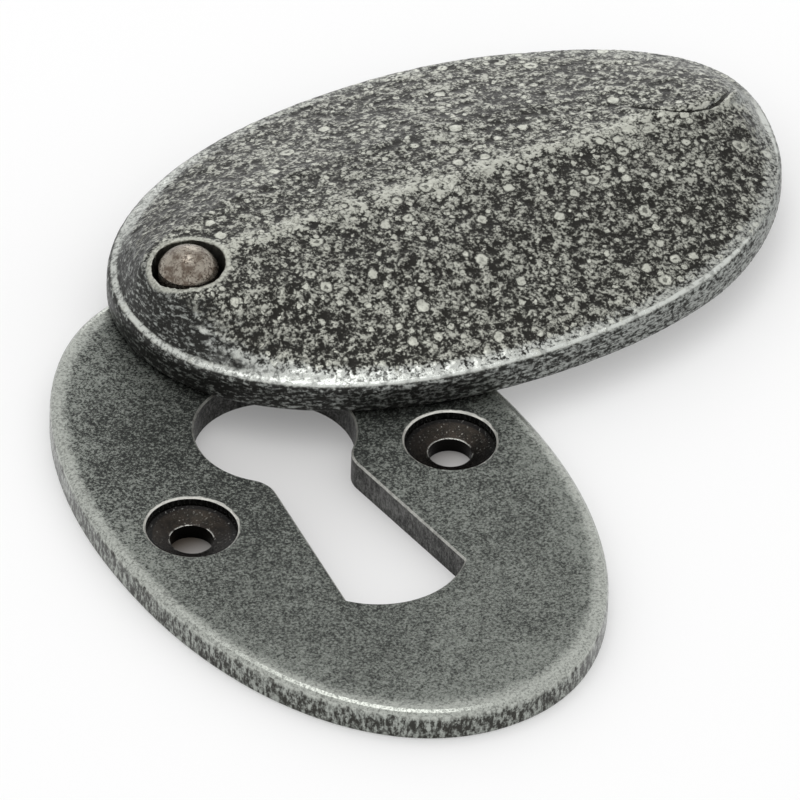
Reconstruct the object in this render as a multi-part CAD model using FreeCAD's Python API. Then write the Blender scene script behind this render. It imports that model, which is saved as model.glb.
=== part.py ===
import FreeCAD, Part
import math
import os

# Keyhole escutcheon: an oval plate with a keyhole, and a ridged oval cover that swings on one rivet.
# Millimetres. The plate lies on its back: back face at z = 0, front towards +Z, rivet end towards +Y.
# The origin is midway between the two screw holes, on the back face.

# Driving dimensions
plateLength = 54.0
plateWidth = 34.0
plateThickness = 2.3
plateEdgeRound = 0.6
plateBackRound = 0.2
plateCentreBelowScrews = 1.0
ovalFullness = 2.1

screwSpacing = 21.4
screwHoleDiameter = 3.2
screwHeadDiameter = 6.7
screwHeadRim = 0.6
screwHeadStep = 0.2
screwHoleLand = 1.1
openingChamfer = 0.14

bowRadius = 5.9
bowAboveScrews = 6.9
skirtTopHalfWidth = 3.25
skirtFootHalfWidth = 4.9
skirtFootBelowScrews = 12.4
footRadius = 6.6
neckRound = 2.2
footCornerRound = 0.25

rivetFromPlateTip = 5.95
rivetShankDiameter = 3.0
rivetHeadDiameter = 4.4
rivetHeadDome = 1.5
rivetHeadProud = 0.8
rivetTailDiameter = 4.6
rivetTailDepth = 0.9

coverLength = 53.2
coverWidth = 34.5
coverRivetFromTip = 4.8
coverWallHeight = 2.4
coverRidgeAtRivet = 6.4
coverRidgeMiddle = 5.95
coverRidgeAtEnd = 5.0
coverFlatnessAtRivet = 28
coverFlatnessAtEnd = 16
coverKneeOut = 0.4
coverKneeAtRivet = 0.9
coverKneeAtEnd = 0.66
coverEdgeRound = 0.7
coverBottomRound = 0.3
coverRivetPocketDiameter = 5.3
coverRivetPocketFloor = 3.1
coverSwing = 90.0
ovalSteps = 20
overshoot = 1.0

# Running clearances
coverGap = 0.1
headGap = 0.08
shankGap = 0.05

# Worked out from the above
plateOval = (-plateCentreBelowScrews, plateLength / 2, plateWidth / 2)
rivetAboveScrews = plateLength / 2 - plateCentreBelowScrews - rivetFromPlateTip
coverOval = (rivetAboveScrews + coverRivetFromTip - coverLength / 2, coverLength / 2, coverWidth / 2)
coverBottom = plateThickness + coverGap
coverEdgeTop = coverBottom + coverWallHeight
coverTop = coverBottom + coverRidgeAtRivet
pocketFloor = coverBottom + coverRivetPocketFloor
ridgeStations = ((0.84, coverRidgeAtRivet), (-0.1, coverRidgeMiddle), (-0.95, coverRidgeAtEnd))
zAxis = FreeCAD.Vector(0, 0, 1)
through = 20.0


def point(x, y, z=0.0):
    return FreeCAD.Vector(x, y, z)


def splineThrough(points, turns):
    curve = Part.BSplineCurve()
    curve.interpolate(Points=points, Parameters=turns)
    return curve.toShape()


def halfTurns(half):
    """Angles round one half of an oval, from tip to tip."""
    return [math.pi * (half + step / ovalSteps) for step in range(ovalSteps + 1)]


def fuller(value):
    return math.copysign(abs(value) ** (2 / ovalFullness), value)


def ovalEdges(oval, inset, z):
    """The left and right halves of an oval ring, split at its two tips and a little fuller than an ellipse."""
    centreY, halfLength, halfWidth = oval
    edges = []
    for half in (0, 1):
        points = [point((inset - halfWidth) * fuller(math.sin(turn)),
                        centreY + (halfLength - inset) * fuller(math.cos(turn)), z) for turn in halfTurns(half)]
        edges.append(splineThrough(points, halfTurns(half)))
    return edges


def ovalWire(oval, inset, z):
    return Part.Wire(ovalEdges(oval, inset, z))


def sideFaces(oval, rings):
    """Side faces that run up through a stack of oval rings, each ring an inset and a height."""
    faces = []
    for half in (0, 1):
        sections = [Part.Wire([ovalEdges(oval, inset, z)[half]]) for inset, z in rings]
        faces += Part.makeLoft(sections, False, True).Faces
    return faces


def quarterRound(radius, steps=3):
    """Inset and drop of points along a rounded corner, from the wall to the face."""
    turns = [math.pi / 2 * step / steps for step in range(steps + 1)]
    return [(radius * (1 - math.cos(turn)), radius * (1 - math.sin(turn))) for turn in turns]


def closedSolid(faces):
    shell = Part.makeShell(faces)
    shell.sewShape()
    return Part.makeSolid(shell)


def turned(outline, x, y):
    """A solid of revolution about a vertical line, from (radius, height) points."""
    corners = [point(radius, 0, height) for radius, height in outline]
    face = Part.Face(Part.makePolygon(corners + corners[:1]))
    solid = face.revolve(point(0, 0), zAxis, 360)
    solid.translate(point(x, y))
    return solid


# Keyhole: a round bow over a skirt that widens down to a bowed foot
def keyholeCutter():
    neckDrop = math.sqrt(bowRadius ** 2 - skirtTopHalfWidth ** 2)
    neckY = bowAboveScrews - neckDrop
    footY = -skirtFootBelowScrews
    footCentreY = footY + math.sqrt(footRadius ** 2 - skirtFootHalfWidth ** 2)
    neckLeft = point(-skirtTopHalfWidth, neckY)
    neckRight = point(skirtTopHalfWidth, neckY)
    footLeft = point(-skirtFootHalfWidth, footY)
    footRight = point(skirtFootHalfWidth, footY)
    outline = Part.Wire([
        Part.Arc(neckRight, point(0, bowAboveScrews + bowRadius), neckLeft).toShape(),
        Part.LineSegment(neckLeft, footLeft).toShape(),
        Part.Arc(footLeft, point(0, footCentreY - footRadius), footRight).toShape(),
        Part.LineSegment(footRight, neckRight).toShape(),
    ])
    cutter = Part.Face(outline).extrude(point(0, 0, through))
    cutter.translate(point(0, 0, -through / 2))
    return roundUpright(roundUpright(cutter, neckY, neckRound), footY, footCornerRound)


def roundUpright(solid, y, radius):
    """Rounds the upright edges that stand at y."""
    upright = [edge for edge in solid.Edges if edge.BoundBox.ZLength > through / 2]
    return solid.makeFillet(radius, [edge for edge in upright if abs(edge.BoundBox.Center.y - y) < 0.01])


# Screw hole: a short straight rim, a countersink and a through hole
def screwCutter(side):
    headRadius = screwHeadDiameter / 2
    holeRadius = screwHoleDiameter / 2
    rimFloor = plateThickness - screwHeadRim
    flare = openingChamfer + overshoot
    outline = [(0, -overshoot), (holeRadius, -overshoot), (holeRadius, screwHoleLand),
               (headRadius - screwHeadStep, rimFloor), (headRadius, rimFloor),
               (headRadius, plateThickness - openingChamfer),
               (headRadius + flare, plateThickness + overshoot), (0, plateThickness + overshoot)]
    return turned(outline, side * screwSpacing / 2, 0)


# Back plate
def backPlate():
    lower = [(inset, drop) for inset, drop in reversed(quarterRound(plateBackRound))]
    upper = [(inset, plateThickness - drop) for inset, drop in quarterRound(plateEdgeRound)]
    faces = sideFaces(plateOval, lower + upper)
    faces.append(Part.Face(ovalWire(plateOval, plateBackRound, 0)))
    faces.append(Part.Face(ovalWire(plateOval, plateEdgeRound, plateThickness)))
    body = closedSolid(faces)
    shankRadius = rivetShankDiameter / 2
    tailSeat = turned([(0, 0), (rivetTailDiameter / 2, 0), (shankRadius, rivetTailDepth),
                       (shankRadius, plateThickness), (0, plateThickness)], 0, rivetAboveScrews)
    body = body.cut(keyholeCutter())
    keyholeRim = [edge for edge in body.Edges
                  if edge.BoundBox.ZMin > plateThickness - 0.01 and edge.BoundBox.YLength < plateLength / 2]
    body = body.makeChamfer(openingChamfer, keyholeRim)
    for cutter in [screwCutter(-1), screwCutter(1), tailSeat]:
        body = body.cut(cutter)
    return body


# Swing cover: flat underneath, an upright wall all round, and two facets that fall from a ridge to the rim
def ridgeRise(span):
    """Ridge height over the rim: a curve through the three stations, drawn down to the rim at both tips."""
    height = 0.0
    for here, value in ridgeStations:
        others = [station for station, _ in ridgeStations if station != here]
        height += value * math.prod((span - other) / (here - other) for other in others)
    flatness = coverFlatnessAtRivet if span > 0 else coverFlatnessAtEnd
    return (height - coverWallHeight) * (1 - abs(span) ** flatness)


def coverLine(half, out, shareAtRivet, shareAtEnd):
    """A lengthwise line on the cover's top: how far out from the ridge, and its share of the ridge's rise."""
    centreY, halfLength, halfWidth = coverOval
    turns = halfTurns(half)
    spans = [fuller(math.cos(turn)) for turn in turns]
    points = [point(out * (coverEdgeRound - halfWidth) * fuller(math.sin(turn)),
                    centreY + (halfLength - coverEdgeRound) * span,
                    coverEdgeTop + ridgeRise(span) * (shareAtRivet * (1 + span) + shareAtEnd * (1 - span)) / 2)
              for turn, span in zip(turns, spans)]
    return splineThrough(points, turns)


def swingCover():
    lower = [(inset, coverBottom + drop) for inset, drop in reversed(quarterRound(coverBottomRound))]
    upper = [(inset, coverEdgeTop - drop) for inset, drop in quarterRound(coverEdgeRound)]
    faces = sideFaces(coverOval, lower + upper)
    faces.append(Part.Face(ovalWire(coverOval, coverBottomRound, coverBottom)))
    for half in (0, 1):
        rim, ridge = coverLine(half, 1, 0, 0), coverLine(half, 0, 1, 1)
        knee = coverLine(half, coverKneeOut, coverKneeAtRivet, coverKneeAtEnd)
        faces += [Part.makeRuledSurface(rim, knee), Part.makeRuledSurface(knee, ridge)]
    body = closedSolid(faces)
    pocketRadius = coverRivetPocketDiameter / 2
    boreRadius = rivetShankDiameter / 2 + shankGap
    under, over = coverBottom - overshoot, coverTop + overshoot
    body = body.cut(turned([(0, under), (boreRadius, under), (boreRadius, pocketFloor), (pocketRadius, pocketFloor),
                            (pocketRadius, over), (0, over)], 0, rivetAboveScrews))
    body.rotate(point(0, rivetAboveScrews), zAxis, coverSwing)
    return body


# Pivot rivet: a domed head in the cover's pocket, and a shank peened flush into the plate's back
def pivotRivet():
    shankRadius = rivetShankDiameter / 2
    headRadius = rivetHeadDiameter / 2
    headFloor = pocketFloor + headGap
    headTop = coverTop + rivetHeadProud
    headEdge = headTop - rivetHeadDome
    domeRadius = (headRadius ** 2 + rivetHeadDome ** 2) / (2 * rivetHeadDome)
    halfTurn = math.asin(headRadius / domeRadius) / 2
    domeMiddle = point(domeRadius * math.sin(halfTurn), 0, headTop - domeRadius * (1 - math.cos(halfTurn)))
    corners = [point(0, 0, 0), point(rivetTailDiameter / 2, 0, 0), point(shankRadius, 0, rivetTailDepth),
               point(shankRadius, 0, headFloor), point(headRadius, 0, headFloor), point(headRadius, 0, headEdge)]
    outline = [Part.LineSegment(start, end).toShape() for start, end in zip(corners, corners[1:])]
    outline.append(Part.Arc(corners[-1], domeMiddle, point(0, 0, headTop)).toShape())
    outline.append(Part.LineSegment(point(0, 0, headTop), corners[0]).toShape())
    rivet = Part.Face(Part.Wire(outline)).revolve(point(0, 0), zAxis, 360)
    rivet.translate(point(0, rivetAboveScrews))
    return rivet


pieces = {
    "back_plate": backPlate(),
    "swing_cover": swingCover(),
    "pivot_rivet": pivotRivet(),
}
os.makedirs("parts", exist_ok=True)
for node, shape in pieces.items():
    if not shape.isValid() or shape.Volume <= 0:
        raise ValueError(node + " isn't a sound solid")
    box = shape.BoundBox
    print(node, "%d solid, %.1f mm3" % (len(shape.Solids), shape.Volume),
          "x %.2f..%.2f y %.2f..%.2f z %.2f..%.2f" % (box.XMin, box.XMax, box.YMin, box.YMax, box.ZMin, box.ZMax))
    shape.exportStep("parts/" + node + ".step")
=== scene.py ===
import bpy
import math
import numpy as np
from mathutils import Vector, Matrix


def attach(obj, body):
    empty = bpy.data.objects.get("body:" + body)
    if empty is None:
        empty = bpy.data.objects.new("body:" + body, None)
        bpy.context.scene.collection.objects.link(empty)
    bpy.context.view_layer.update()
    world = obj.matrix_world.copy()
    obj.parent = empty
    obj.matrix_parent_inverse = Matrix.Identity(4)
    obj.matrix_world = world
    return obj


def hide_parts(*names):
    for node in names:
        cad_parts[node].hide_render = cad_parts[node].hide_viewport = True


print("loading the solids")
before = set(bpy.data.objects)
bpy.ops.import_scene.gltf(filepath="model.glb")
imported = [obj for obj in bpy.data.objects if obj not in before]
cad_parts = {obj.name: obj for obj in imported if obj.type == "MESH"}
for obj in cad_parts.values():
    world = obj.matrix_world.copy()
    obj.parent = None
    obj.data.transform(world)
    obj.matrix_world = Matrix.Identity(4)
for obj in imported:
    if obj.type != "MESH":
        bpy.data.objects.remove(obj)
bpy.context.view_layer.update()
mm = 0.001
ovalFullness = 2.1  # a little fuller than an ellipse, as the solids are


# Linear colour from the 0-255 numbers that a picture shows
def tone(red, green, blue):
    shares = [value / 255 for value in (red, green, blue)]
    return tuple(s / 12.92 if s <= 0.04045 else ((s + 0.055) / 1.055) ** 2.4 for s in shares) + (1.0,)


# Shader maths: a wire carries one socket, and sums on wires add Math nodes
class Wire:
    def __init__(self, finish, socket):
        self.finish = finish
        self.socket = socket

    def math(self, operation, *others):
        return self.finish.node("ShaderNodeMath", {"operation": operation}, dict(enumerate((self,) + others)))

    def __add__(self, other): return self.math("ADD", other)
    def __radd__(self, other): return self.math("ADD", other)
    def __sub__(self, other): return self.math("SUBTRACT", other)
    def __rsub__(self, other): return self.finish.number(other).math("SUBTRACT", self)
    def __mul__(self, other): return self.math("MULTIPLY", other)
    def __rmul__(self, other): return self.math("MULTIPLY", other)
    def __truediv__(self, other): return self.math("DIVIDE", other)
    def __pow__(self, other): return self.math("POWER", other)

    def size(self): return self.math("ABSOLUTE")
    def most(self, other): return self.math("MAXIMUM", other)
    def least(self, other): return self.math("MINIMUM", other)

    # 0 below low, 1 above high and a soft step between them
    def between(self, low, high):
        settings = {"interpolation_type": "SMOOTHSTEP"}
        return self.finish.node("ShaderNodeMapRange", settings,
                                {"Value": self, "From Min": low, "From Max": high})


class Nodes:
    def __init__(self, tree):
        self.tree = tree

    def node(self, kind, settings, inputs, output=0):
        made = self.tree.nodes.new(kind)
        for name, value in settings.items():
            setattr(made, name, value)
        for name, value in inputs.items():
            if isinstance(value, Wire):
                self.tree.links.new(value.socket, made.inputs[name])
            else:
                made.inputs[name].default_value = value
        return Wire(self, made.outputs[output])

    def number(self, value):
        made = self.tree.nodes.new("ShaderNodeValue")
        made.outputs[0].default_value = value
        return Wire(self, made.outputs[0])

    # 1 for rays straight from the camera, or by way of gloss or glass
    def straightLook(self):
        seen = self.tree.nodes.new("ShaderNodeLightPath").outputs
        ways = [Wire(self, seen[name]) for name in ("Is Camera Ray", "Is Glossy Ray", "Is Transmission Ray")]
        return ways[0].most(ways[1]).most(ways[2])


# A finish: a material with its surface point in millimetres
class Finish(Nodes):
    def __init__(self, name):
        self.material = bpy.data.materials.new(name)
        self.material.use_nodes = True
        super().__init__(self.material.node_tree)
        self.shader = self.tree.nodes["Principled BSDF"]
        self.spot = self.node("ShaderNodeTexCoord", {}, {}, "Object")
        self.mmSpot = self.node("ShaderNodeVectorMath", {"operation": "SCALE"},
                                {0: self.spot, "Scale": 1 / mm})

    # x, y and z of the surface point in millimetres
    def place(self):
        made = self.tree.nodes.new("ShaderNodeSeparateXYZ")
        self.tree.links.new(self.mmSpot.socket, made.inputs[0])
        return [Wire(self, socket) for socket in made.outputs]

    # How far the surface faces up, 1 on a level top and 0 on a wall
    def facing(self):
        turned = self.node("ShaderNodeTexCoord", {}, {}, "Normal")
        return self.node("ShaderNodeSeparateXYZ", {}, {0: turned}, "Z")

    def stretched(self, x, y, z):
        return self.node("ShaderNodeVectorMath", {"operation": "MULTIPLY"}, {0: self.mmSpot, 1: (x, y, z)})

    # Cloudy noise whose lumps are about size millimetres across
    def noise(self, size, detail, roughness, at=None):
        return self.node("ShaderNodeTexNoise", {}, {"Vector": at or self.mmSpot, "Scale": 1 / size,
                                                    "Detail": detail, "Roughness": roughness}, "Fac")

    # Distance from the middle of scattered spots, and two random numbers for each spot
    def cells(self, size, at):
        settings = {"voronoi_dimensions": "2D"}
        away = self.node("ShaderNodeTexVoronoi", settings, {"Vector": at, "Scale": 1 / size}, "Distance")
        chance = self.tree.nodes.new("ShaderNodeSeparateColor")
        self.tree.links.new(away.socket.node.outputs["Color"], chance.inputs[0])
        return away, Wire(self, chance.outputs[0]), Wire(self, chance.outputs[1])

    # The surface point, moved about by noise so that round things turn out uneven
    def shaken(self, size, reach):
        stir = self.node("ShaderNodeTexNoise", {},
                         {"Vector": self.mmSpot, "Scale": 1 / size, "Detail": 1.0}, "Color")
        stir = self.node("ShaderNodeVectorMath", {"operation": "MULTIPLY_ADD"},
                         {0: stir, 1: (reach, reach, reach), 2: (-reach / 2, -reach / 2, -reach / 2)})
        return self.node("ShaderNodeVectorMath", {"operation": "ADD"}, {0: self.mmSpot, 1: stir})

    def blend(self, factor, first, second):
        made = self.tree.nodes.new("ShaderNodeMix")
        made.data_type = "RGBA"
        for name, value in (("Factor_Float", factor), ("A_Color", first), ("B_Color", second)):
            socket = next(s for s in made.inputs if s.identifier == name)
            if isinstance(value, Wire):
                self.tree.links.new(value.socket, socket)
            else:
                socket.default_value = value
        return Wire(self, next(s for s in made.outputs if s.identifier == "Result_Color"))

    # Surface relief from a 0 to 1 height, depth in millimetres
    def bump(self, height, depth):
        return self.node("ShaderNodeBump", {}, {"Height": height, "Distance": depth * mm, "Strength": 1.0})

    def wear(self, **sockets):
        for name, value in sockets.items():
            socket = self.shader.inputs[name.replace("_", " ")]
            if isinstance(value, Wire):
                self.tree.links.new(value.socket, socket)
            else:
                socket.default_value = value


# 0 at the middle of an oval and 1 on its outline
def ovalSpan(x, y, oval):
    centreX, centreY, halfX, halfY = oval
    across = ((x - centreX).size() / halfX) ** ovalFullness
    along = ((y - centreY).size() / halfY) ** ovalFullness
    return (across + along) ** (1 / ovalFullness)


# Back plate: fine pewter grain, worn pale along its edges
backPlate = {
    "oval": (0.0, -1.0, 17.0, 27.0),  # centre and half sizes, mm
    "top": 2.3,
    "grain": 0.17,
    "recess": tone(38, 40, 38),
    "crest": tone(127, 131, 125),
    "paleEdge": tone(190, 193, 186),
    "wallRecess": tone(56, 56, 52),
    "wallCrest": tone(166, 170, 164),
    "keyRecess": tone(38, 38, 37),
    "keyCrest": tone(112, 112, 110),
    "screwHoles": (10.7, 0.0),  # mm from the middle line, and along it
    "screwRim": 3.35,
    "screwBore": 1.6,
    "screwShade": tone(13, 12, 11),
    "screwBrown": tone(40, 35, 30),
    "glint": tone(196, 196, 190),
    "lip": tone(224, 223, 216),
}


def finishPlate(settings):
    print("finishing the back plate")
    metal = Finish("pewter_plate")
    x, y, z = metal.place()
    up = metal.facing()
    span = ovalSpan(x, y, settings["oval"])
    patches = metal.noise(6.0, 2, 0.55)
    grain = metal.noise(settings["grain"], 4, 0.72)
    coarse = metal.noise(settings["grain"] * 3.8, 2, 0.55)
    outerBand = (span + (patches - 0.5) * 0.16).between(0.74, 0.97)
    harsh = (y + (patches - 0.5) * 12).between(-14, 6)  # the grain stands out more towards the cover
    speck = grain * 0.85 + coarse * 0.15 + (patches - 0.5) * 0.14 + outerBand * 0.05 - harsh * 0.02
    speck = speck.between(harsh * 0.06 + 0.38, 0.66 - harsh * 0.05)
    top = metal.blend(speck, settings["recess"], settings["crest"])
    rim = (span + (coarse - 0.5) * 0.02).between(0.925, 0.975)
    top = metal.blend(rim * (0.30 + 0.45 * grain.between(0.35, 0.6)), top, settings["paleEdge"])
    # walls: streaks that run up and down
    streaks = metal.noise(0.30, 3, 0.65, metal.stretched(1, 1, 0.42))
    mottle = streaks + (grain - 0.5) * 0.5 + (coarse - 0.5) * 0.35
    side = metal.blend(mottle.between(0.40, 0.68), settings["wallRecess"], settings["wallCrest"])
    brow = z.between(settings["top"] - 0.7, settings["top"] - 0.2)
    side = metal.blend(brow * coarse.between(0.3, 0.6), side, settings["paleEdge"])
    wall = 1 - up.size().between(0.35, 0.75)
    inner = 1 - span.between(0.80, 0.86)
    # painted shade: the walls inside the keyhole get darker tones than the outer wall
    fleck = (streaks * 0.5 + grain * 0.5 + (patches - 0.5) * 0.3).between(0.38, 0.68)
    keyTone = metal.blend(fleck, settings["keyRecess"], settings["keyCrest"])
    colour = metal.blend(wall, top, metal.blend(inner, side, keyTone))
    # the narrow slope round each opening is rubbed bright
    slope = up.between(0.45, 0.6) * (1 - up.between(0.82, 0.95))
    slope = slope * z.between(settings["top"] - 0.3, settings["top"] - 0.16) * inner
    # countersinks: glossy, with painted shade inside: near black on the bore and round the outer part of the
    # cone, and darker on the cone's near side; painted glints of light on the cone and at the bore's edge,
    # and a bright lip round the top
    holeX, holeY = settings["screwHoles"]
    reach = ((x.size() - holeX) ** 2 + (y - holeY) ** 2) ** 0.5
    screwRim = settings["screwRim"]
    sunk = 1 - reach.between(screwRim - 0.02, screwRim + 0.02)
    cone = up.between(0.5, 0.7) * (0.45 + 0.55 * coarse.between(0.34, 0.66))
    cone = cone * (0.35 + 0.65 * y.between(-2.2, 0.6))
    cone = cone * (1 - (reach + (coarse - 0.5) * 0.3).between(screwRim - 0.55, screwRim - 0.40))
    hollow = metal.blend(cone, settings["screwShade"], settings["screwBrown"])
    screwBore = settings["screwBore"]
    bite = 1 - (reach + (coarse - 0.5) * 0.2).between(screwBore + 0.03, screwBore + 0.14)
    glint = up.between(0.5, 0.7) * (grain.between(0.60, 0.70) * 0.7).most(bite * coarse.between(0.42, 0.6))
    colour = metal.blend(sunk, colour, metal.blend(glint * 0.7, hollow, settings["glint"]))
    lip = 1 - (reach + (coarse - 0.5) * 0.30).between(screwRim + 0.10, screwRim + 0.17)
    ring = (slope * 0.5).most(lip * (1 - wall)) * (1 - sunk)
    colour = metal.blend(ring * (0.62 + 0.3 * coarse.between(0.35, 0.6)), colour, settings["lip"])
    gloss = 0.50 - speck * 0.10 - rim * 0.18
    smooth = 1 - (rim * 0.92).most(ring * 0.6)
    metal.wear(Base_Color=colour, Roughness=gloss * (1 - sunk) + sunk * 0.17, Metallic=0.85,
               Normal=metal.bump((grain * 0.7 + coarse * 0.3) * smooth, 0.04))
    return metal.material


# Rivet: brownish polished steel with small pits
rivetHead = {
    "steel": tone(153, 146, 135),
    "stain": tone(98, 87, 77),
    "pit": tone(52, 43, 37),
    "pitSize": 0.16,
}


def finishRivet(settings):
    print("finishing the rivet")
    metal = Finish("rivet_steel")
    stains = metal.noise(0.8, 3, 0.65)
    pits = metal.noise(settings["pitSize"], 3, 0.6)
    stained = (stains + (pits - 0.5) * 0.5).between(0.38, 0.66)
    colour = metal.blend(stained, settings["steel"], settings["stain"])
    colour = metal.blend(pits.between(0.60, 0.72), colour, settings["pit"])
    metal.wear(Base_Color=colour, Roughness=0.15 + stains * 0.22, Metallic=0.9,
               Normal=metal.bump(1 - pits.between(0.5, 0.75) + stains * 0.5, 0.03))
    return metal.material


# Cover: a rough cast oval, ridged along its length
cover = {
    "oval": (21.8, 20.05, 26.6, 17.25),  # centre and half sizes at rest, mm
    "bottom": 2.4,
    "rimTop": 4.8,
    "skinGrain": 0.17,  # distance between points of the cast skin, mm
    "rivet": (0.0, 20.05),
    "rivetKeep": 2.9,
    "pocketSpot": (0.0, 20.05, 5.5),
    "pocketRadius": 2.68,
    "recess": tone(34, 33, 30),
    "crest": tone(180, 181, 171),
    "paleEdge": tone(200, 203, 198),
    "wallRecess": tone(40, 40, 38),
    "wallCrest": tone(156, 159, 155),
    "blister": 2.0,  # mm between the raised spots of the casting
    "flake": 0.95,  # and between its small flakes
    "pocketShade": tone(20, 18, 16),
    "tip": (48.4, 20.05),
    "lean": 1.0,  # mm that the tip leans to the far side
    "fuller": 0.8,  # mm that it reaches further out there
    "crease": (42.6, 19.6, 0.133),  # lowest point of the fold near the tip, and its bend
    "foldLip": 0.16,  # mm
    "furrow": 0.14,  # mm
    "mergeGap": 0.002,  # mm, points of the solid's mesh closer than this are one
    "sharpFrom": 50,  # degrees between faces, above which an edge stays sharp
}


def onlySelected(piece):
    bpy.ops.object.select_all(action="DESELECT")
    piece.select_set(True)
    bpy.context.view_layer.objects.active = piece


def applyModifier(piece, kind, **settings):
    modifier = piece.modifiers.new(kind.lower(), kind)
    for name, value in settings.items():
        setattr(modifier, name, value)
    bpy.ops.object.modifier_apply(modifier=modifier.name)


def points(piece):
    spots = np.empty(len(piece.data.vertices) * 3, np.float32)
    piece.data.vertices.foreach_get("co", spots)
    return spots.reshape(-1, 3) / mm


def castTexture(name, kind, size, **settings):
    texture = bpy.data.textures.new(name, kind)
    texture.noise_scale = size * mm
    for key, value in settings.items():
        setattr(texture, key, value)
    return texture


# Leaves only the chosen faces selected, ready for edit mode
def selectFaces(piece, chosen):
    piece.data.vertices.foreach_set("select", np.zeros(len(piece.data.vertices), bool))
    piece.data.edges.foreach_set("select", np.zeros(len(piece.data.edges), bool))
    piece.data.polygons.foreach_set("select", chosen)


# A vertex group whose weights are the given shares, in steps of a twentieth
def weigh(piece, name, shares):
    group = piece.vertex_groups.new(name=name)
    for step in range(1, 21):
        inStep = np.nonzero(np.round(shares * 20) == step)[0]
        group.add([int(i) for i in inStep], step / 20, "REPLACE")


def softStep(values, low, high):
    share = np.clip((values - low) / (high - low), 0, 1)
    return share * share * (3 - 2 * share)


def dressCover(settings):
    print("dressing the cover")
    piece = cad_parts["swing_cover"].copy()
    piece.data = piece.data.copy()
    piece.name = "cast_cover"
    for key in list(piece.keys()):
        del piece[key]
    piece.parent = None
    bpy.context.scene.collection.objects.link(piece)
    onlySelected(piece)
    bpy.ops.object.mode_set(mode="EDIT")
    bpy.ops.mesh.select_all(action="SELECT")
    bpy.ops.mesh.remove_doubles(threshold=settings["mergeGap"] * mm)
    bpy.ops.object.mode_set(mode="OBJECT")
    applyModifier(piece, "REMESH", mode="VOXEL", voxel_size=settings["skinGrain"] * mm, adaptivity=0.0)
    applyModifier(piece, "SMOOTH", factor=0.5, iterations=3)
    spots = points(piece)
    centreX, centreY, halfX, halfY = settings["oval"]
    rivetX, rivetY = settings["rivet"]
    fromRivet = np.hypot(spots[:, 0] - rivetX, spots[:, 1] - rivetY)
    skin = softStep(spots[:, 2], settings["bottom"] + 0.15, settings["bottom"] + 0.7)
    skin *= softStep(fromRivet, settings["rivetKeep"], settings["rivetKeep"] + 0.6)
    span = (np.abs((spots[:, 0] - centreX) / halfX) ** ovalFullness
            + np.abs((spots[:, 1] - centreY) / halfY) ** ovalFullness) ** (1 / ovalFullness)
    skin *= 1 - 0.75 * softStep(span, 0.93, 0.975)
    weigh(piece, "skin", skin)
    # the tip leans a little to one side, and is fuller there
    tipX, tipY = settings["tip"]
    weigh(piece, "lean", softStep(spots[:, 0], tipX - 13, tipX))
    fuller = softStep(spots[:, 1], tipY - 4.5, tipY + 5)
    fuller *= 1 - softStep(spots[:, 1], tipY + 5, tipY + 15)
    weigh(piece, "fuller", fuller * softStep(spots[:, 0], tipX - 12, tipX - 1))
    applyModifier(piece, "DISPLACE", direction="Y", strength=settings["lean"] * mm, mid_level=0,
                  vertex_group="lean")
    applyModifier(piece, "DISPLACE", direction="X", strength=settings["fuller"] * mm, mid_level=0,
                  vertex_group="fuller")
    spots = points(piece)
    # the fold in the casting: a lip on the near side of a shallow furrow
    foldX, foldY, foldBend = settings["crease"]
    bend = foldBend * (spots[:, 0] - foldX)
    aside = (spots[:, 1] - foldY - bend * (spots[:, 0] - foldX)) / np.sqrt(1 + 4 * bend * bend)
    length = softStep(spots[:, 0], foldX - 5.2, foldX - 3.0)
    length *= 1 - softStep(spots[:, 0], foldX + 4.0, foldX + 4.9)
    onTop = length * (spots[:, 2] > settings["bottom"] + 1)
    weigh(piece, "fold_lip", onTop * softStep(aside, -1.1, -0.25) * (1 - softStep(aside, -0.2, 0.05)))
    weigh(piece, "furrow", onTop * (1 - softStep(np.abs(aside - 0.05), 0.08, 0.3)))
    applyModifier(piece, "DISPLACE", strength=settings["foldLip"] * mm, mid_level=0, vertex_group="fold_lip")
    applyModifier(piece, "DISPLACE", strength=-settings["furrow"] * mm, mid_level=0, vertex_group="furrow")
    # the skin's roughness, from broad lumps down to grit, depths in mm
    textures = [
        (castTexture("lumps", "CLOUDS", 3.2, noise_depth=1), 0.16),
        (castTexture("cast_skin", "CLOUDS", 0.85, noise_depth=1), 0.13),
        (castTexture("pips", "VORONOI", 0.7), -0.10),
        (castTexture("grit", "CLOUDS", 0.40, noise_depth=1), 0.08),
    ]
    for texture, depth in textures:
        applyModifier(piece, "DISPLACE", texture=texture, texture_coords="LOCAL", strength=depth * mm,
                      mid_level=0.5, vertex_group="skin")
        if texture.name == "lumps":
            before = points(piece)
    after = points(piece)
    # how far each point stands above the smooth skin, in mm, for the finish
    normals = np.empty(len(piece.data.vertices) * 3, np.float32)
    piece.data.vertices.foreach_get("normal", normals)
    relief = ((after - before) * normals.reshape(-1, 3)).sum(1)
    attribute = piece.data.attributes.new("relief", "FLOAT", "POINT")
    attribute.data.foreach_set("value", np.ascontiguousarray(relief, np.float32))
    # the flat underside needs few faces
    middles = np.empty(len(piece.data.polygons) * 3, np.float32)
    piece.data.polygons.foreach_get("center", middles)
    flat = middles.reshape(-1, 3)[:, 2] / mm < settings["bottom"] + 0.02
    selectFaces(piece, flat)
    bpy.ops.object.mode_set(mode="EDIT")
    bpy.ops.mesh.select_mode(type="FACE")
    bpy.ops.mesh.delete(type="FACE")
    bpy.ops.mesh.select_mode(type="EDGE")
    bpy.ops.mesh.select_all(action="DESELECT")
    bpy.ops.mesh.select_non_manifold(use_wire=False, use_multi_face=False, use_non_contiguous=False,
                                     use_verts=False)
    bpy.ops.mesh.fill(use_beauty=False)
    bpy.ops.mesh.select_all(action="SELECT")
    bpy.ops.mesh.normals_make_consistent(inside=False)
    bpy.ops.object.mode_set(mode="OBJECT")
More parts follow.
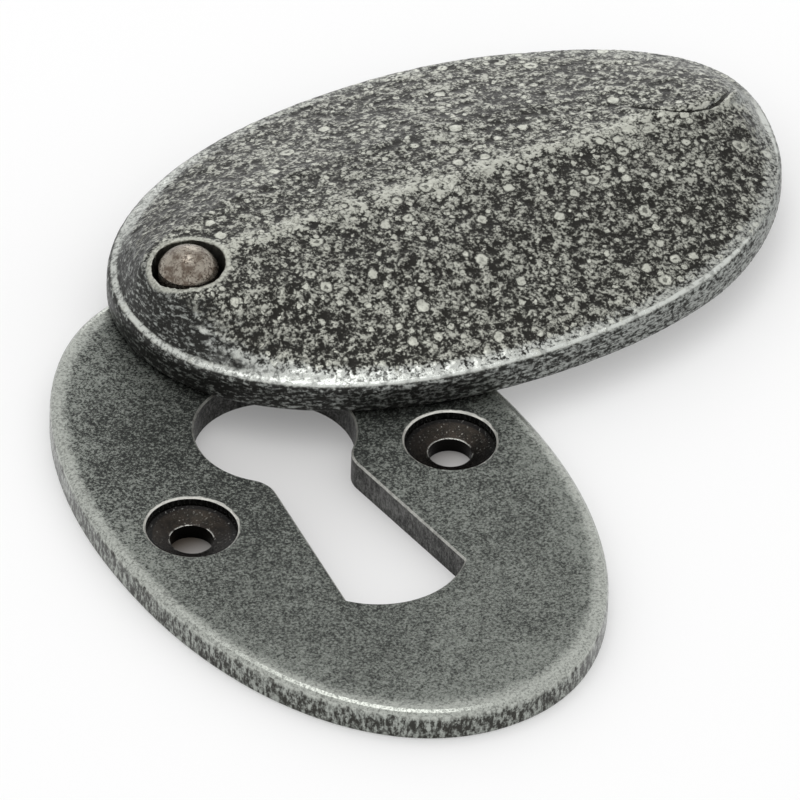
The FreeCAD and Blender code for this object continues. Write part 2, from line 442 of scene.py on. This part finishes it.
    # the rivet's pocket is cut again, so that its edge is crisp
    pocketX, pocketY, pocketFloor = settings["pocketSpot"]
    bpy.ops.object.select_all(action="DESELECT")
    drillLength = 8  # mm
    drillSpot = Vector((pocketX, pocketY, pocketFloor + drillLength / 2)) * mm
    bpy.ops.mesh.primitive_cylinder_add(vertices=96, radius=settings["pocketRadius"] * mm,
                                        depth=drillLength * mm, location=drillSpot)
    drill = bpy.context.object
    bpy.ops.object.transform_apply(location=True, rotation=True, scale=True)
    onlySelected(piece)
    applyModifier(piece, "BOOLEAN", operation="DIFFERENCE", object=drill, solver="EXACT")
    bpy.data.objects.remove(drill)
    onlySelected(piece)
    bpy.ops.object.shade_smooth_by_angle(angle=math.radians(settings["sharpFrom"]))
    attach(piece, "cover")
    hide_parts("swing_cover")
    print("cover faces", len(piece.data.polygons))
    return piece


def finishCover(settings):
    print("finishing the cover")
    metal = Finish("cast_cover")
    x, y, z = metal.place()
    up = metal.facing()
    span = ovalSpan(x, y, settings["oval"])
    relief = metal.node("ShaderNodeAttribute", {"attribute_name": "relief"}, {}, "Fac")
    grain = metal.noise(0.23, 3, 0.6)
    spots = metal.noise(0.62, 3, 0.6)
    patches = metal.noise(5.0, 2, 0.55)
    centreX, centreY = settings["oval"][:2]
    # large round blisters, each with a dark outline and some with a pit
    away, chance, girth = metal.cells(settings["blister"], metal.shaken(0.45, 0.30))
    edge = away - girth * 0.20 - 0.06 + (grain - 0.5) * 0.22
    far = (y - centreY).between(1.0, 4.0)
    crowd = (patches - 0.5) * 1.4 + (x - centreX) * 0.006 - far * 0.12
    chosen = (chance + crowd).between(0.54, 0.57)
    blister = chosen * (1 - edge.between(-0.035, 0.03))
    moat = chosen * (1 - edge.between(0.04, 0.14)) * (1 - blister)
    pit = chosen * (1 - (edge + 0.15).between(-0.02, 0.02)) * (girth * 7.0).math("FRACT").between(0.45, 0.6)
    # small flakes between them
    flakeAway, flakeChance, flakeGirth = metal.cells(settings["flake"], metal.shaken(0.4, 0.5))
    flakeEdge = flakeAway - flakeGirth * 0.22 - 0.05 + (grain - 0.5) * 0.34
    flaky = (flakeChance + crowd * 0.6 + relief * 1.5).between(0.40, 0.44)
    flake = flaky * (1 - flakeEdge.between(-0.03, 0.04))
    ditch = flaky * (1 - flakeEdge.between(0.04, 0.14)) * (1 - flake)
    # fine grain, paler along the ridge
    ridge = 1 - ((y - centreY) + (spots - 0.5) * 3.0 + (patches - 0.5) * 1.5).size().between(0.1, 1.4)
    height = grain * 0.62 + spots * 0.38 + relief * 1.4 + (patches - 0.5) * 0.10 + ridge * 0.085
    speck = height.between(0.45, 0.63) * (0.78 + ridge * 0.14)
    mottled = 0.40 + 0.60 * grain.between(0.36, 0.50)
    raised = (blister * (mottled * 0.5 + 0.5)).most(flake * (mottled * 0.95))
    speck = (speck * (1 - moat.most(ditch * 0.7) * 0.8)).most(raised) * (1 - pit * 0.7)
    # the fold near the tip, with painted shade darkening its furrow and a paler lip beside it
    foldX, foldY, foldBend = settings["crease"]
    bend = (x - foldX) * foldBend
    aside = (y - foldY - bend * (x - foldX) + (spots - 0.5) * 0.30) / (1 + bend * bend * 4) ** 0.5
    length = (x - foldX).between(-5.0, -3.2) * (1 - (x - foldX).between(4.0, 4.8))
    fold = length * (1 - (aside - 0.05).size().between(0.07, 0.18))
    lapped = length * aside.between(-0.7, -0.3) * (1 - aside.between(-0.25, -0.1)) * spots.between(0.44, 0.58)
    speck = speck.most(lapped * 0.7) * (1 - fold * 0.95)
    colour = metal.blend(speck, settings["recess"], settings["crest"])
    wall = 1 - up.size().between(0.62, 0.86)
    streaks = metal.noise(0.30, 3, 0.65, metal.stretched(0.5, 0.5, 1.5))
    mottle = streaks + (grain - 0.5) * 0.5 + (spots - 0.5) * 0.2 + (x - centreX) * 0.003
    side = metal.blend(mottle.between(0.40, 0.68), settings["wallRecess"], settings["wallCrest"])
    colour = metal.blend(wall, colour, side)
    # the rim is rubbed pale, with a painted highlight on it: a pale ragged band, stronger on the near side
    # and at the left end, a crisp painted highlight line along the near rim and a thin pale ledge at the left
    # end
    ragged = (spots - 0.5) * 0.06 + (grain - 0.5) * 0.05
    left = 1 - x.between(8.0, 34.0)
    near = 1 - (y - centreY).between(-1.0, 5.0)
    band = (span + ragged + left * 0.012).between(0.915, 0.955)
    band = band * (0.40 + 0.45 * left) * height.between(0.38, 0.52)
    line = (span + (spots - 0.5) * 0.012).between(0.964, 0.971) * x.between(-3.0, 3.0) * near
    ledge = (span + (spots - 0.5) * 0.016).between(0.936, 0.944) * (1 - x.between(4.0, 14.0))
    ledge = ledge * (0.35 + 0.5 * height.between(0.40, 0.55))
    line = line * (0.55 + 0.45 * spots.between(0.38, 0.52))
    rubbedAndHighlight = (band * (0.3 + 0.7 * near)).most(line).most(ledge)
    rubbedAndHighlight = rubbedAndHighlight * z.between(settings["rimTop"] - 0.28, settings["rimTop"] - 0.14) * (1 - wall)
    colour = metal.blend(rubbedAndHighlight, colour, settings["paleEdge"])
    rivetX, rivetY = settings["rivet"]
    reach = ((x - rivetX) ** 2 + (y - rivetY) ** 2) ** 0.5
    halo = 1 - (reach + (spots - 0.5) * 0.3).between(2.95, 3.15)
    colour = metal.blend(halo * (0.5 + 0.4 * grain.between(0.35, 0.6)), colour, settings["crest"])
    # painted shade: the walls of the rivet's pocket, and its floor below the top, are near black
    pocket = (1 - reach.between(2.66, 2.72)) * (1 - up.between(0.3, 0.6)).most(1 - z.between(6.0, 6.6))
    colour = metal.blend(pocket, colour, settings["pocketShade"])
    bumps = grain * 0.30 + spots * 0.45 + blister * 0.5 + flake * 0.4 - moat * 0.15 - pit * 0.4 - fold * 1.0
    metal.wear(Base_Color=colour, Roughness=0.46 - speck * 0.08 - rubbedAndHighlight * 0.20, Metallic=0.85,
               Normal=metal.bump(bumps * (1 - wall * 0.5) * (1 - rubbedAndHighlight * 0.5), 0.11))
    return metal.material


def paint(piece, material):
    piece.data.materials.clear()
    piece.data.materials.append(material)


castCover = dressCover(cover)
paint(castCover, finishCover(cover))
paint(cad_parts["back_plate"], finishPlate(backPlate))
paint(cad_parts["pivot_rivet"], finishRivet(rivetHead))

camera = {
    "target": (9.284, 4.968, 3.0),  # mm, the point the picture is centred on
    "azimuth": -30.474,
    "elevation": 38.837,
    "roll": 1.777,
    "distance": 1909.0,
    "lens": 1185.55,
    "sensor": 36.0,
}


def addCamera(settings):
    azimuth, elevation = math.radians(settings["azimuth"]), math.radians(settings["elevation"])
    level = math.cos(elevation)
    back = Vector((math.sin(azimuth) * level, -math.cos(azimuth) * level, math.sin(elevation)))
    right = Vector((0, 0, 1)).cross(back).normalized()
    roll = Matrix.Rotation(math.radians(settings["roll"]), 3, "Z")
    turn = Matrix((right, back.cross(right), back)).transposed() @ roll
    bpy.ops.object.camera_add(location=(Vector(settings["target"]) + back * settings["distance"]) * mm,
                              rotation=turn.to_euler())
    lookout = bpy.context.object
    lookout.data.lens = settings["lens"]
    lookout.data.sensor_width = settings["sensor"]
    lookout.data.clip_end = 10
    bpy.context.scene.camera = lookout


studio = {
    "floorSize": 3.0,  # m
    "floorGap": 0.04,  # mm below the plate's back
    "floorColour": (0.93, 0.93, 0.93, 1),
    "floorLift": 0.3,  # share of plain white that only a straight look sees
    "shadeColour": tone(86, 79, 72),
    # place in m, power in W and size in m
    # a soft box overhead, a low panel behind and two small lamps in front
    "lamps": (((0.02, 0.14, 0.55), 0.42, 0.26), ((0.29, 0.51, 0.15), 0.30, 0.3),
              ((-0.32, -0.36, 0.36), 0.03, 0.04), ((-0.15, -0.46, 0.36), 0.03, 0.04)),
    "worldStrength": 0.92,
}


def layFloor(settings):
    bpy.ops.object.select_all(action="DESELECT")
    bpy.ops.mesh.primitive_plane_add(size=settings["floorSize"], location=(0, 0, -settings["floorGap"] * mm))
    floor = bpy.context.object
    floor.name = "floor"
    paper = Finish("paper")
    x, y = paper.place()[:2]
    # painted shade: the paper seen through the screw holes lies in deep shade, and the paper under the plate
    # is shaded, darker towards the cover
    holeX, holeY = backPlate["screwHoles"]
    shade = 1 - ((x.size() - holeX) ** 2 + (y - holeY) ** 2).between(2.8, 3.6)
    shade = shade * (1 - (1 - y.between(-1.2, 1.5)) * 0.25 - x.between(-2, 2) * 0.2)
    under = 1 - ovalSpan(x, y, backPlate["oval"]).between(0.8, 0.9)
    shade = shade.most(under * (0.12 + 0.26 * y.between(-14, 10)))
    colour = paper.blend(shade, settings["floorColour"], settings["shadeColour"])
    paper.wear(Base_Color=colour, Roughness=0.9, Specular_IOR_Level=0.0)
    lift = paper.straightLook() * settings["floorLift"] * (1 - shade)
    glow = paper.node("ShaderNodeEmission", {}, {"Strength": 1.0, "Color": (1, 1, 1, 1)})
    whole = paper.node("ShaderNodeMixShader", {}, {0: lift})
    paper.tree.links.new(paper.shader.outputs[0], whole.socket.node.inputs[1])
    paper.tree.links.new(glow.socket, whole.socket.node.inputs[2])
    paper.tree.links.new(whole.socket, paper.tree.nodes["Material Output"].inputs["Surface"])
    floor.data.materials.append(paper.material)


def setStudio(settings):
    print("setting the studio")
    layFloor(settings)
    for place, power, size in settings["lamps"]:
        bpy.ops.object.light_add(type="AREA", location=place)
        lamp = bpy.context.object
        lamp.data.energy = power
        lamp.data.size = size
        lamp.rotation_euler = (-lamp.location).to_track_quat("-Z", "Y").to_euler()
    world = bpy.data.worlds.new("studio")
    bpy.context.scene.world = world
    world.use_nodes = True
    sky = Nodes(world.node_tree)
    background = sky.tree.nodes["Background"]
    background.inputs["Color"].default_value = (1, 1, 1, 1)
    strength = settings["worldStrength"] + sky.straightLook() * (1 - settings["worldStrength"])
    sky.tree.links.new(strength.socket, background.inputs["Strength"])
    bpy.context.scene.view_settings.view_transform = "Standard"


addCamera(camera)
setStudio(studio)
